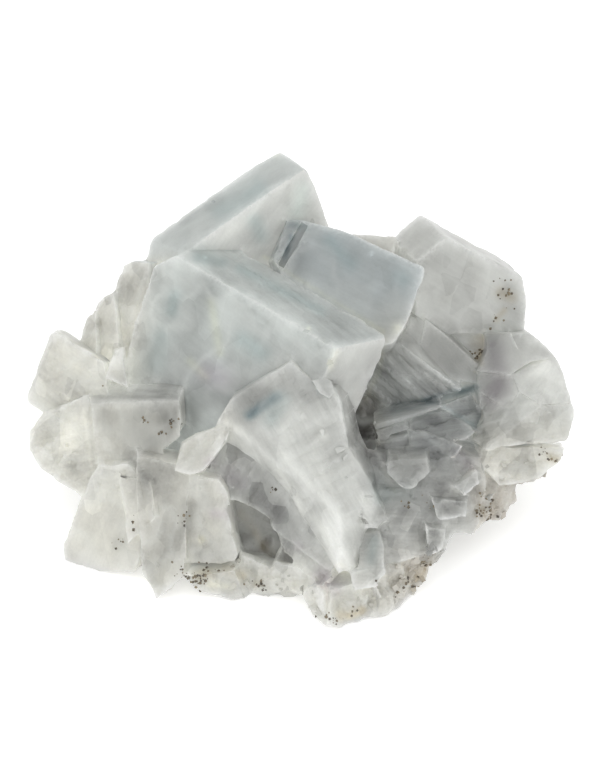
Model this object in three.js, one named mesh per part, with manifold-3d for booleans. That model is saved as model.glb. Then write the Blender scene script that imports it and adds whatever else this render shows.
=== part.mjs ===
// A rough specimen of barite: one cluster of thick tabular crystals, grown together on a broken base.
// Millimetres, +Z up. The flat underside lies at z = 0, and the origin is under the middle of the cluster.

import * as THREE from "three";
import { ConvexGeometry } from "three/addons/geometries/ConvexGeometry.js";
import { mergeVertices } from "three/addons/utils/BufferGeometryUtils.js";
import Module from "manifold-3d";

const wasm = await Module();
wasm.setup();

// Driving dimensions.
const heartHeight = 27; // of the middle of the growth face above the underside
const growthTilt = THREE.MathUtils.degToRad(55); // how far the growth face stands up from the level
const flare = 1.05; // how much wider a crystal is at its root, so that neighbours with a shared edge overlap
const crumbSize = 0.02; // shorter edges than this are closed up
const belowFloorSize = 200; // of the block that cuts the underside flat
const weldDistance = 1e-3;

// The showy crystals grow out of a face that leans back. Their corners are given in its frame:
// across to the right, up the face, and out of it, from the heart of the cluster.
const growthFrame = new THREE.Matrix4()
  .makeTranslation(0, 0, heartHeight)
  .multiply(new THREE.Matrix4().makeRotationX(growthTilt));

// Each crystal is a flat face and a sweep that carries the face back into the cluster.
// The first three corners fix the plane of the face. A corner given across and up only lies in that plane.
const upperCrystals = {
  backPeak: {
    face: [[0.8, 37.7, -9], [-20, 22.6, -4.6], [5.4, 26.9, -13], [1.9, 36.6], [8, 14], [-22, 16],
      [-20.5, 19.5]],
    sweep: [-4.9, 3.1, -9],
  },
  centreSlab: {
    face: [[6, 6.5, 14], [-21, 22.5, -3], [-1.5, -10, 10], [-25, 20.5], [-28, 12], [-30, 3], [-29, -6],
      [-14, -12]],
    sweep: [8.1, 2, -7],
  },
  darkBlock: {
    face: [[-4.7, 21.8, -5.6], [0, 28.6, -7], [18, 10.8, 5], [7.6, 26.6], [20.9, 20.2], [20.8, 19],
      [19, 14.3], [15.8, 7.5], [5, 5], [-2, 28.6]],
    sweep: [-1, -1, -11],
  },
  wedgeBehind: {
    face: [[8.5, 26.3, -9], [16.5, 25.8, -9], [15, 15, -7], [8, 16]],
    sweep: [1, -2, -8],
  },
  rightBlock: {
    face: [[24.8, 25.6, -6], [38.8, 18.7, -13], [22, 13, -9], [19.8, 21.4], [39, 14], [38.6, 9.6],
      [29, 9.3], [24.3, 9], [19.5, 12.5]],
    sweep: [-4.1, 3.6, -9],
  },
  shoulderTop: {
    face: [[31.8, 6.5, -9.4], [31.6, 9.3, -11.5], [37.1, 6.5, -8.6], [36, 9.3]],
    sweep: [-0.5, 0.8, -8],
  },
};

const leftCrystals = {
  ridgeHigh: {
    face: [[-25.5, 21.3, -8], [-30.3, 20.9, -11.7], [-26, 2, -7], [-28.7, 21.7], [-32.3, 16.2], [-34, 6]],
    sweep: [3, 0, -6],
  },
  ridgeMiddle: {
    face: [[-31.8, 16.4, -11], [-33.8, 15.7, -12.5], [-30, 0, -8], [-35.3, 13.8], [-36, 6]],
    sweep: [3, 1, -6],
  },
  ridgeLow: {
    face: [[-35, 13.8, -12], [-37.2, 11.7, -14], [-34, -2, -9], [-38, 6]],
    sweep: [3, 1, -6],
  },
  leftBlock: {
    face: [[-41.6, 9.8, -9], [-33, 4.5, -5], [-46.4, -1, -10], [-46.6, -2.4], [-43.4, -4.2], [-37, -7],
      [-32, -5], [-42.6, 9.2]],
    sweep: [1, 0, -9],
  },
  leftTip: {
    face: [[-46.6, -7.2, -8], [-36, -1, -4], [-42.8, -14.9, -6], [-43.4, -4.1], [-34, -6], [-34, -18],
      [-36.8, -18.6], [-44.4, -13.8], [-46.2, -10.4]],
    sweep: [2, 1, -10],
  },
  shoulderBlock: {
    face: [[-35.5, -2.5, -3], [-20.2, -2, 2.5], [-34.5, -13, -2], [-19.8, -8.2], [-22.5, -10.5], [-26, -13],
      [-30, -14.5]],
    sweep: [0.5, 2.7, -5],
  },
  shoulderSplinter: {
    face: [[-33, 1.7, -3], [-31.6, 6.5, -5], [-29, 0, -1.5], [-29.8, 7]],
    sweep: [0, 0, -5],
  },
};

const lowerLeftCrystals = {
  warmCorner: {
    face: [[-34.5, -12.9, 0], [-39.9, -29.4, -5], [-28, -31.3, 0], [-36.9, -18.2], [-40, -26.4],
      [-37.6, -30.9], [-24, -21], [-28.5, -12.5]],
    sweep: [2, 2, -8],
  },
  cornerBevel: {
    face: [[-30.7, -14.1, 1.7], [-24.1, -21.6, 5.1], [-28.9, -26.3, 1.9], [-24.9, -15.6]],
    sweep: [0.4, 1.3, -7],
  },
  cornerNeighbour: {
    face: [[-25, -12.4, 4.5], [-24, -35.6, 4.5], [-18.5, -13, 6.5], [-27.8, -11], [-19.3, -32], [-26.7, -30.8],
      [-26.5, -25]],
    sweep: [1, 2, -9],
  },
  frontTablet: {
    face: [[-18.5, -14.3, 7], [-11.8, -17.8, 8], [-10.8, -29.6, 6], [-13.3, -15.1], [-9.7, -26.4],
      [-19, -29.5], [-19.5, -22]],
    sweep: [0, 1, -9],
  },
  paleLeaf: {
    face: [[-19.7, -9, 6], [-11.4, -5.6, 8], [-16, -13.8, 10], [-17.5, -7.7], [-14.3, -7.2], [-12.1, -8.7],
      [-18.5, -14.6], [-21, -13.8]],
    sweep: [0, 0, -8],
  },
  rimChip: {
    face: [[-19.6, -31.6, 5], [-10.8, -30.3, 6.5], [-10.4, -36.2, 4], [-8.4, -35.6], [-14.1, -36.2],
      [-17.2, -33.6]],
    sweep: [1, 2, -8],
  },
};

const frontCrystals = {
  underBlade: {
    face: [[-13, -8.5, 4.6], [5, -31, 11.2], [-15.5, -14, 3.2], [-11.5, -18.8], [-5.3, -21], [1, -26], [8, -25],
      [-4, -8]],
    sweep: [2, 2, -8],
  },
  underBladeFoot: {
    face: [[-5.3, -21, 5.5], [5, -31, 10], [-2.7, -28, 6.5], [-3.8, -25.3], [0.5, -31], [4, -32.5],
      [6, -31.5]],
    sweep: [2, 2, -8],
  },
  rimPlate: {
    face: [[-9.7, -26.6, 5], [0, -29.8, 8.5], [-5.5, -33.2, 5], [-4.7, -28.5], [4.2, -33.2], [0.2, -34.7],
      [-8, -34.8], [-10.8, -31]],
    sweep: [0, 0, -8],
  },
  rimLump: {
    face: [[0.4, -33.2, 10], [4.8, -40.2, 11.5], [3.9, -34.4, 13], [2.4, -39.2], [0, -34.8], [2.6, -32.6]],
    sweep: [2, 2, -8],
  },
  rimBlock: {
    face: [[4.6, -33.5, 12], [12.6, -31.5, 9], [5, -40, 11], [8.6, -39.3], [13, -38.6]],
    sweep: [0, 3, -8],
  },
  rimWedge: {
    face: [[12.1, -31.8, 9.5], [16.8, -31.6, 6], [12.9, -38.4, 8.5], [19.9, -33.8], [18.6, -35.6],
      [15.5, -37.6]],
    sweep: [0, 3, -8],
  },
  rimPebble: {
    face: [[8, -30.5, 12.5], [13, -29.5, 10.5], [9, -34, 13], [13.6, -33]],
    sweep: [0, 2, -7],
  },
};

// The bent white blade across the front, as four rails from its top to its tip.
const bladeRails = {
  low: [[-14.5, -7.5, 4.5], [-12, -9.2, 6], [-8.3, -11.6, 7.5], [-4.6, -14.6, 9], [-1.7, -18.1, 10],
    [0.5, -21.9, 10.5], [3, -25.2, 11], [4.8, -28.4, 12], [6.3, -31.1, 12.5]],
  shoulder: [[-13.7, -5.3, 7], [-10, -8, 9.5], [-6.3, -10.6, 11], [-2.8, -13.5, 13], [0, -16.3, 14],
    [2.5, -19.3, 14.5], [4.1, -22.1, 15], [5.4, -25.9, 15], [6.6, -30.2, 13.5]],
  crest: [[-11.6, -1.8, 8.5], [-8.9, -4.3, 10.5], [-6.1, -6.8, 12], [-2.8, -10.2, 13.5], [0.8, -13.2, 14.7],
    [3.8, -16.3, 15.5], [5.9, -19.2, 16], [6.7, -23.4, 15.5], [7.3, -28.7, 13.5]],
  edge: [[-1.5, 4.6, 10.5], [2, 1.3, 12], [5.8, 0, 12.5], [7.3, -5.3, 12.5], [8.3, -9.8, 12],
    [10.3, -13.2, 11], [12.6, -18.6, 9.5], [10.6, -23.9, 10], [9.4, -29.8, 10.5]],
};
const bladeSegments = 16;
const bladeSweep = [1.5, 2, -8];

const bladeFlakes = {
  topFlake: {
    face: [[2, 1.2, 13], [6.1, -0.7, 13], [3, -0.8, 13.5], [4.1, 1.8], [5.6, 1.3], [4.8, -1.8]],
    sweep: [0, 0, -3],
  },
  edgeFlake: {
    face: [[9.9, -17.7, 12], [14.5, -22.1, 8.7], [10.1, -21, 12], [12.1, -18.1], [13.9, -20.2],
      [13.1, -23.4], [10.6, -23.7]],
    sweep: [0.5, 1, -3],
  },
};

// The dark hollow between the centre and the right: blades and broken plates seen down to their roots.
const cavityCrystals = {
  upperBladeEnd: {
    face: [[18.5, 12.2, -9], [17.9, 9.8, -7.5], [20.3, 7.3, -7], [21.3, 11.9]],
    sweep: [0, 1.5, -7],
  },
  upperBlade: {
    face: [[20.3, 7.3, -7], [26.2, 1, -7.5], [25, 9, -9.5], [30.2, 0.7], [30.7, 3.7], [21.3, 11.9]],
    sweep: [0, 1.5, -7],
  },
  paleBevel: {
    face: [[17.9, 9.8, -7.5], [16.6, 7.8, -4.5], [22, 1.4, -5.6], [25.4, 0, -5.5], [26.2, 1, -7.5],
      [20.3, 7.3, -7]],
    sweep: [0, 1.5, -7],
  },
  stripedFace: {
    face: [[16.6, 7.8, -4.5], [25.4, 0, -5.5], [9, -7.2, -11], [22, 1.4], [27.5, -0.3], [23.7, -1.7],
      [17, -3.6], [11.6, 0.5], [13.2, 6.1]],
    sweep: [0, 1.5, -7],
  },
  steppedPlate: {
    face: [[12.1, -6.1, -2], [23.7, -2.7, -4], [12.6, -7.2, -1.4], [18.2, -5.4], [23.8, -3.5]],
    sweep: [0.5, 2.5, -6],
  },
  middleStep: {
    face: [[12.6, -7.2, -1.9], [18.2, -5.4, -3.1], [13.1, -8.9, -1.2], [18.5, -6.9]],
    sweep: [0, 1.5, -6],
  },
  lowerStep: {
    face: [[13.1, -8.7, -0.6], [18.3, -8, -1.2], [13.4, -10.8, 0.5], [18.5, -10.8]],
    sweep: [0, 1.5, -6],
  },
  greyWedge: {
    face: [[18.5, -5.6, -3.4], [23.8, -3.5, -4.6], [18.5, -9, -1], [28, -5.6], [29.9, -7.6], [28, -9]],
    sweep: [0, 1.5, -6],
  },
  paleStreak: {
    face: [[18.2, -6.7, -0.6], [24.7, -9.2, 0.2], [22.1, -11.2, 1.4], [21, -7.2], [18.4, -10.8],
      [27.5, -9.6], [26.2, -11.6]],
    sweep: [0, 0, -6],
  },
  blueWedge: {
    face: [[23.7, -2.9, -4], [29.2, -0.8, -8], [30, -7.4, -5.5], [31, -4.2], [31.2, -6.3], [27.9, -5.6]],
    sweep: [0, 0, -6],
  },
};

// The broad face to the right of the hollow: facets that share their creases.
const rightCrystals = {
  rightMass: {
    face: [[17, 14, -15], [40, 5, -16], [22, -12, -9], [40, -8], [36, -14], [37.5, 13]],
    sweep: [-4, 2, -14],
  },
  purpleTop: {
    face: [[31.8, 6.5, -9.4], [37.1, 6.5, -8.6], [35.9, 2.2, -6], [30.2, 2.7]],
    sweep: [-0.5, 0.8, -8],
  },
  purpleFace: {
    face: [[30.2, 2.7, -8], [35.9, 2.2, -6], [35, -3.4, -3.6], [36.9, -0.7], [30.2, -0.7]],
    sweep: [-0.5, 0.8, -8],
  },
  innerLip: {
    face: [[30.2, -0.7, -6.5], [35, -3.4, -3.6], [31, -4.8, -4.6]],
    sweep: [-0.5, 0.8, -8],
  },
  innerCorner: {
    face: [[31, -4.8, -4.6], [35, -3.4, -3.6], [28.8, -8.9, -2.5], [30, -7.4], [31.1, -10.4]],
    sweep: [-0.5, 0.8, -8],
  },
  greyShoulder: {
    face: [[37.1, 6.5, -8.6], [39.4, 4.3, -7], [43.6, 5.1, -8.7], [36, 9.3, -12], [38.9, 9.6, -13],
      [42.3, 6.8, -11.5]],
    sweep: [-0.5, 0.8, -8],
  },
  shoulderRoot: {
    face: [[37.1, 6.5, -8.6], [35.9, 2.2, -6], [39.4, 4.3, -7]],
    sweep: [-0.5, 0.8, -8],
  },
  paleFan: {
    face: [[35.9, 2.2, -6], [43.6, 5.1, -8.7], [40.6, -2.9, -2.5], [39.4, 4.3], [36.9, -0.7]],
    sweep: [-0.5, 0.8, -8],
  },
  fanRoot: {
    face: [[36.9, -0.7, -4.2], [40.6, -2.9, -2.5], [35, -3.4, -3.6]],
    sweep: [-0.5, 0.8, -8],
  },
  fanRim: {
    face: [[43.6, 5.1, -8.7], [40.6, -2.9, -2.5], [46.3, -2.7, -7], [44.7, 2.5]],
    sweep: [-0.5, 0.8, -8],
  },
  roundFace: {
    face: [[35, -3.4, -3.6], [46.6, -5.1, -6.5], [37.1, -9.8, -2], [40.6, -2.9, -2.5], [46.3, -2.7],
      [45.1, -9], [31.1, -10.4]],
    sweep: [-0.5, 0.8, -8],
  },
  lowerBand: {
    face: [[30.3, -10.2, -1.2], [44.6, -11.5, -5.5], [33.6, -17, -2.5], [37.1, -9.8], [44.9, -10.2],
      [44.2, -12.4], [40.8, -15.2], [38, -16.4], [30.3, -13]],
    sweep: [-0.5, 0.8, -8],
  },
};

// The grey flank below the hollow, as rows of corners from its top down.
// Each cell of four corners is one facet.
const flankRows = [
  [[9.5, -10.3, 5.5], [15.4, -10.8, 1.5], [20.1, -10.8, 1.4], [25.5, -11, 1], [30.3, -11.5, -1.5]],
  [[11.8, -15.7, 6.5], [15.8, -16, 6], [20.4, -15.7, 5], [25.9, -16.6, 3.2], [31.3, -15.5, -1]],
  [[14, -19.5, 7.5], [17.2, -19, 6.8], [21.2, -19.6, 5.6], [25.8, -19.6, 3.4], [31, -19.5, -0.8]],
  [[12.5, -24, 9.5], [16.6, -23.4, 7.6], [20.8, -23.4, 5.6], [25.8, -24.4, 1.5], [29.5, -25.3, -1]],
  [[11.5, -28.5, 10], [15, -29.6, 8.8], [19.4, -28.6, 6.4], [24.3, -27.9, 3]],
];
const flankSweep = [0, 2.5, -8];

// Small crystals that stand off the flank.
const flankCrystals = {
  flankDisc: {
    face: [[14.6, -12, 6.9], [21.3, -11.7, 4.9], [18.3, -17.2, 8], [21.7, -14.2], [16, -16.3], [14.1, -14]],
    sweep: [0.3, 2.2, -6],
  },
  flankShard: {
    face: [[25.3, -16.6, 4.7], [29.7, -13.5, 1.9], [27.4, -18.3, 4.9], [30.3, -16.4]],
    sweep: [0.2, 1.7, -6],
  },
  flankPlate: {
    face: [[21.8, -18.4, 6.7], [28.3, -18.8, 3.9], [22.9, -22.2, 7.1], [27.9, -21.9]],
    sweep: [0.1, 1.9, -6],
  },
  flankPale: {
    face: [[20.6, -22.9, 7.6], [24.3, -23.6, 5.2], [21.4, -28.2, 8.3], [24.1, -27.3]],
    sweep: [0.2, 2.1, -7],
  },
};

const lowerRightCrystals = {
  outerTablet: {
    face: [[26, -18.8, -1], [30.3, -13, -2], [36.2, -17.3, -6], [36, -18.8], [34.6, -23.2], [31.8, -22.9],
      [36.5, -15]],
    sweep: [0, 3, -8],
  },
  outerFoot: {
    face: [[28, -19.5, 0], [33, -18.5, -2], [31.8, -22.9, -3], [29.4, -25.3]],
    sweep: [0, 3, -8],
  },
  blueSplinter: {
    face: [[10.3, -24, 9.8], [13.1, -23.6, 9.4], [14.4, -30.7, 10.8], [14.2, -26.7], [12.7, -32.4],
      [10.6, -31.9], [9.4, -30]],
    sweep: [1, 1, -8],
  },
  flankCorner: {
    face: [[14.3, -27.4, 8], [18.5, -28.2, 5.5], [20, -33.6, 4], [24, -27.6], [22.9, -29.9], [20.9, -31.9],
      [14.8, -32.8]],
    sweep: [0, 3, -8],
  },
};

// Openings: a narrow slot in the dark block, and the shadowed hollow under the blade.
const openings = {
  blockSlot: {
    face: [[0.2, 28, -3], [1.3, 27.4, -3], [-2.7, 20.4, -3], [-3.7, 21]],
    sweep: [0, 0, -5],
  },
  hollowUnderBlade: {
    face: [[-12, -19.8, 8], [-6, -21.6, 8], [-5.2, -29.8, 8], [-8.6, -20.4], [-4.7, -24.4], [-4.1, -27.6],
      [-10.2, -28.2], [-11.2, -24.4]],
    sweep: [1, 1.5, -9.5],
  },
  hollowBesideCentre: {
    face: [[8.3, -7.5, 2], [9.3, -10.6, 2], [12.6, -10.8, 2], [12, -6.3], [11.6, -3], [10.5, -1.5],
      [9.8, -3]],
    sweep: [0.3, 0.5, -10],
  },
};

// The broken mass under the crystals: an outline at each height, narrowing upwards.
const baseLayers = [
  {
    z: -2,
    outline: [[-34, -8], [-22, -16], [-5, -18], [3, -24], [14, -17], [22, -5], [30, 8], [29, 24], [12, 33],
      [-12, 33], [-29, 22], [-36, 5]],
  },
  {
    z: 12,
    outline: [[-33, 2], [-20, -8], [2, -11], [12, -4], [25, 9], [28, 25], [12, 33], [-12, 32], [-28, 21]],
  },
  {
    z: 26,
    outline: [[-20, 10], [0, 4], [8, 10], [18, 24], [8, 30], [-12, 30]],
  },
];

// Tablets that lean against the far side: middle, length, width and thickness, and turn in degrees.
const farTablets = [
  { at: [-16.5, 26, 20], size: [26, 20, 8], turn: [62, 12, -24] },
  { at: [7, 31, 22], size: [27, 18, 9], turn: [72, -16, 10] },
  { at: [-32, 15, 10], size: [20, 16, 7], turn: [50, 20, -55] },
  { at: [27, 24, 17], size: [22, 17, 8], turn: [58, 26, 32] },
  { at: [-6, 34, 9], size: [24, 17, 8], turn: [84, 5, 4] },
  { at: [18, 33, 6], size: [18, 14, 7], turn: [66, -22, 28] },
  { at: [-25, 26, 6], size: [20, 14, 7], turn: [76, 18, -32] },
  { at: [33, 13, 7], size: [18, 14, 7], turn: [48, -30, 70] },
  { at: [-8, 30, 34], size: [14, 12, 5], turn: [40, 20, 15] },
  { at: [19, 28, 29], size: [14, 11, 5], turn: [70, 8, -30] },
];
const rimBevel = 0.92; // how far the flat faces of a tablet draw in, as a share of its outline

// Broken chips along the foot of the far side and the flanks, turned every way.
const chipCount = 30;
const chipRing = { acrossRadius: 31, alongRadius: 29, middle: [0, 4], fromAngle: 5, toAngle: 190 };
const chipSize = { least: 5, spread: 5 };
const chipTop = 12;

function cornersOf(face) {
  const [a, b, c] = face.map((corner) => new THREE.Vector3(...corner));
  const { normal, constant } = new THREE.Plane().setFromCoplanarPoints(a, b, c);
  return face.map(([across, up, out]) => {
    const solved = -(normal.x * across + normal.y * up + constant) / normal.z;
    return new THREE.Vector3(across, up, out ?? solved);
  });
}

function sweptGeometry(front, sweep) {
  const middle = new THREE.Vector3();
  for (const corner of front) {
    middle.addScaledVector(corner, 1 / front.length);
  }
  const back = front.map((corner) =>
    corner.clone().sub(middle).multiplyScalar(flare).add(middle).add(new THREE.Vector3(...sweep)));
  return new ConvexGeometry([...front, ...back]).applyMatrix4(growthFrame);
}

function crystalGeometry({ face, sweep }) {
  return sweptGeometry(cornersOf(face), sweep);
}

function bladeGeometries() {
  const rails = Object.values(bladeRails).map((corners) => {
    const curve = new THREE.CatmullRomCurve3(corners.map((corner) => new THREE.Vector3(...corner)));
    return curve.getPoints(bladeSegments);
  });
  return Array.from({ length: bladeSegments }, (_, index) => {
    const front = rails.flatMap((rail) => [rail[index], rail[index + 1]]);
    return sweptGeometry(front, bladeSweep);
  });
}

function flankGeometries() {
  return flankRows.slice(1).flatMap((row, index) => row.slice(1).map((corner, column) => {
    const above = flankRows[index];
    const front = [above[column], above[column + 1], row[column], corner];
    return sweptGeometry(front.map((point) => new THREE.Vector3(...point)), flankSweep);
  }));
}

function solidOf(geometry) {
  const bare = geometry.clone();
  bare.deleteAttribute("normal");
  bare.deleteAttribute("uv");
  const merged = mergeVertices(bare, weldDistance);
  return new wasm.Manifold(
    new wasm.Mesh({
      numProp: 3,
      vertProperties: merged.attributes.position.array,
      triVerts: new Uint32Array(merged.index.array),
    }),
  );
}

function geometryOf(solid) {
  const { vertProperties, triVerts } = solid.getMesh();
  const geometry = new THREE.BufferGeometry();
  geometry.setAttribute("position", new THREE.BufferAttribute(vertProperties, 3));
  geometry.setIndex(new THREE.BufferAttribute(triVerts, 1));
  geometry.computeVertexNormals();
  return geometry;
}

function baseGeometry() {
  const points = baseLayers.flatMap(({ z, outline }) =>
    outline.map(([x, y]) => new THREE.Vector3(x, y, z)));
  return new ConvexGeometry(points);
}

// A thick tablet with cut corners and bevelled rims, lying flat about the origin.
function tabletGeometry([length, width, thickness]) {
  const corners = [[1, 0.7], [0.8, 1], [-0.7, 1], [-1.1, 0.9], [-1, -0.7], [-0.85, -1], [0.9, -1.05]];
  const layers = [
    { height: -0.5, share: rimBevel },
    { height: 0, share: 1 },
    { height: 0.5, share: rimBevel },
  ];
  const points = layers.flatMap(({ height, share }) => corners.map(([x, y]) =>
    new THREE.Vector3((x * share * length) / 2, (y * share * width) / 2, height * thickness)));
  return new ConvexGeometry(points);
}

function placed(geometry, at, turn) {
  const angles = new THREE.Euler(...turn.map(THREE.MathUtils.degToRad));
  const placing = new THREE.Matrix4().makeRotationFromEuler(angles).setPosition(...at);
  return geometry.applyMatrix4(placing);
}

// Evenly scattered shares between 0 and 1, the same on every run.
function scattered(index, step) {
  return ((index + 1) * step) % 1;
}

function chipGeometry(index) {
  const share = (index + 0.5) / chipCount;
  const angle = THREE.MathUtils.degToRad(THREE.MathUtils.lerp(chipRing.fromAngle, chipRing.toAngle, share));
  const length = chipSize.least + chipSize.spread * scattered(index, 0.618);
  const at = [
    chipRing.middle[0] + chipRing.acrossRadius * Math.cos(angle),
    chipRing.middle[1] + chipRing.alongRadius * Math.sin(angle),
    chipTop * scattered(index, 0.755),
  ];
  const turn = [360 * scattered(index, 0.57), 360 * scattered(index, 0.31), 360 * scattered(index, 0.83)];
  return placed(tabletGeometry([length, length * 0.75, length * 0.5]), at, turn);
}

const crystals = {
  ...upperCrystals,
  ...leftCrystals,
  ...lowerLeftCrystals,
  ...frontCrystals,
  ...bladeFlakes,
  ...cavityCrystals,
  ...rightCrystals,
  ...flankCrystals,
  ...lowerRightCrystals,
};

const pieces = [
  ...Object.values(crystals).map(crystalGeometry),
  ...bladeGeometries(),
  ...flankGeometries(),
  ...farTablets.map(({ at, size, turn }) => placed(tabletGeometry(size), at, turn)),
  ...Array.from({ length: chipCount }, (_, index) => chipGeometry(index)),
];

const belowFloor = new THREE.BoxGeometry(belowFloorSize, belowFloorSize, belowFloorSize)
  .translate(0, 0, -belowFloorSize / 2);

let cluster = solidOf(baseGeometry());
for (const piece of pieces) {
  cluster = cluster.add(solidOf(piece));
}
for (const opening of Object.values(openings)) {
  cluster = cluster.subtract(solidOf(crystalGeometry(opening)));
}
cluster = cluster.subtract(solidOf(belowFloor));

// The outermost shell alone, centred over the origin: pockets sealed between the crystals are solid barite.
const shells = cluster.decompose().sort((a, b) => b.volume() - a.volume());
const { min, max } = shells[0].boundingBox();
cluster = shells[0].simplify(crumbSize).translate(-(min[0] + max[0]) / 2, -(min[1] + max[1]) / 2, 0);

const bariteMaterial = new THREE.MeshStandardMaterial({ color: 0xc3cbc8, roughness: 0.45, metalness: 0 });
const bariteCluster = new THREE.Mesh(geometryOf(cluster), bariteMaterial);
bariteCluster.name = "barite_cluster";

const group = new THREE.Group();
group.add(bariteCluster);

export default group;
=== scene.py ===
import math

import bmesh
import bpy
import numpy as np
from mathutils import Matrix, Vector, bvhtree, kdtree, noise


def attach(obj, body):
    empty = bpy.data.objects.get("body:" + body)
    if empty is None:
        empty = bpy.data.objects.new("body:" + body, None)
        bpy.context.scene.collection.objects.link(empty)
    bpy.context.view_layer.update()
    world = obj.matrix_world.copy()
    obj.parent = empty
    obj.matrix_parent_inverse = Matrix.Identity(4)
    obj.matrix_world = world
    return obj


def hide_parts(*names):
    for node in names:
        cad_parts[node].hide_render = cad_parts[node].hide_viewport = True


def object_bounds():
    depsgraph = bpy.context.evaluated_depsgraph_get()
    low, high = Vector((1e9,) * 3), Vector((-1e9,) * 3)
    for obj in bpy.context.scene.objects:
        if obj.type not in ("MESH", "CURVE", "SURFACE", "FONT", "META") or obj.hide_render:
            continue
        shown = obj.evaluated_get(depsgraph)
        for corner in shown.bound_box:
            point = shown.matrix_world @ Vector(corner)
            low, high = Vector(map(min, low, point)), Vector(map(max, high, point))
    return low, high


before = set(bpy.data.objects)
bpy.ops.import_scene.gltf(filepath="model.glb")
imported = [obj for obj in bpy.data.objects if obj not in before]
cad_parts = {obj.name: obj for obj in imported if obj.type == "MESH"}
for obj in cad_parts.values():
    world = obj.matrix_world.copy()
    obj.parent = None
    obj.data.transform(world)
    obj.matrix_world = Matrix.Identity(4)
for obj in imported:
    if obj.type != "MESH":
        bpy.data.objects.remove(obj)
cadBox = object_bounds()
mm = 0.001
noise.seed_set(5)  # vector noise starts from the clock otherwise

# The showy side leans back: places on it are given across, up and out of it, in millimetres.
stand = {
    "lean": 35,  # degrees the line of sight drops towards the cluster
    "distance": 750,  # mm
    "heart": (0, -4.018, 27),  # mm, the middle of the showy side
    "frameHeight": 130.4,  # mm seen from top to bottom at the heart
    "sensor": 36,
}
leanAngle = math.radians(stand["lean"])
heart = Vector(stand["heart"]) * mm
acrossWay = Vector((1, 0, 0))
upWay = Vector((0, math.sin(leanAngle), math.cos(leanAngle)))
outWay = Vector((0, -math.cos(leanAngle), math.sin(leanAngle)))
lookout = heart + outWay * stand["distance"] * mm


def say(text):
    print("barite:", text)


# Shares of red, green and blue that a face's lightness is multiplied by.
tints = {
    "blue": (0.968, 1.008, 1.014),
    "cool": (0.985, 1.012, 0.998),
    "grey": (1.000, 1.006, 0.985),
    "warm": (1.012, 1.008, 0.968),
    "rusty": (1.035, 1.002, 0.945),
    "lilac": (1.014, 0.982, 1.016),
    "teal": (0.985, 1.008, 1.004),
    "slate": (0.880, 1.000, 1.050),
    "plain": (1.0, 1.0, 1.0),
}

# broken: hackly fracture, lined: growth lines, milky: cloudiness, paned: clefts seen inside, flaky: flakes
surfaces = {
    "clear": {"broken": 0.0, "lined": 0.1, "milky": 0.35, "paned": 0.1, "flaky": 0.0},
    "cloudy": {"broken": 0.05, "lined": 0.1, "milky": 0.8, "paned": 0.25, "flaky": 0.0},
    "lined": {"broken": 0.1, "lined": 0.5, "milky": 0.4, "paned": 0.2, "flaky": 0.0},
    "rough": {"broken": 0.3, "lined": 0.2, "milky": 0.9, "paned": 0.4, "flaky": 0.1},
    "ragged": {"broken": 0.7, "lined": 0.2, "milky": 0.9, "paned": 0.4, "flaky": 0.2},
    "crumbly": {"broken": 1.0, "lined": 0.0, "milky": 0.7, "paned": 0.5, "flaky": 0.6},
    "clefts": {"broken": 0.3, "lined": 0.8, "milky": 0.8, "paned": 0.9, "flaky": 0.0},
    "striped": {"broken": 0.1, "lined": 2.2, "milky": 0.4, "paned": 0.2, "flaky": 0.0},
    "sheaf": {"broken": 0.1, "lined": 0.4, "milky": 0.7, "paned": 0.2, "flaky": 0.1},
}

# How light a face is, out of 255, before anything lies on it.
lightness = {
    "deepest": 55,
    "dark": 120,
    "dusky": 135,
    "mid": 150,
    "soft": 165,
    "pale": 182,
    "light": 200,
    "white": 220,
}

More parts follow.
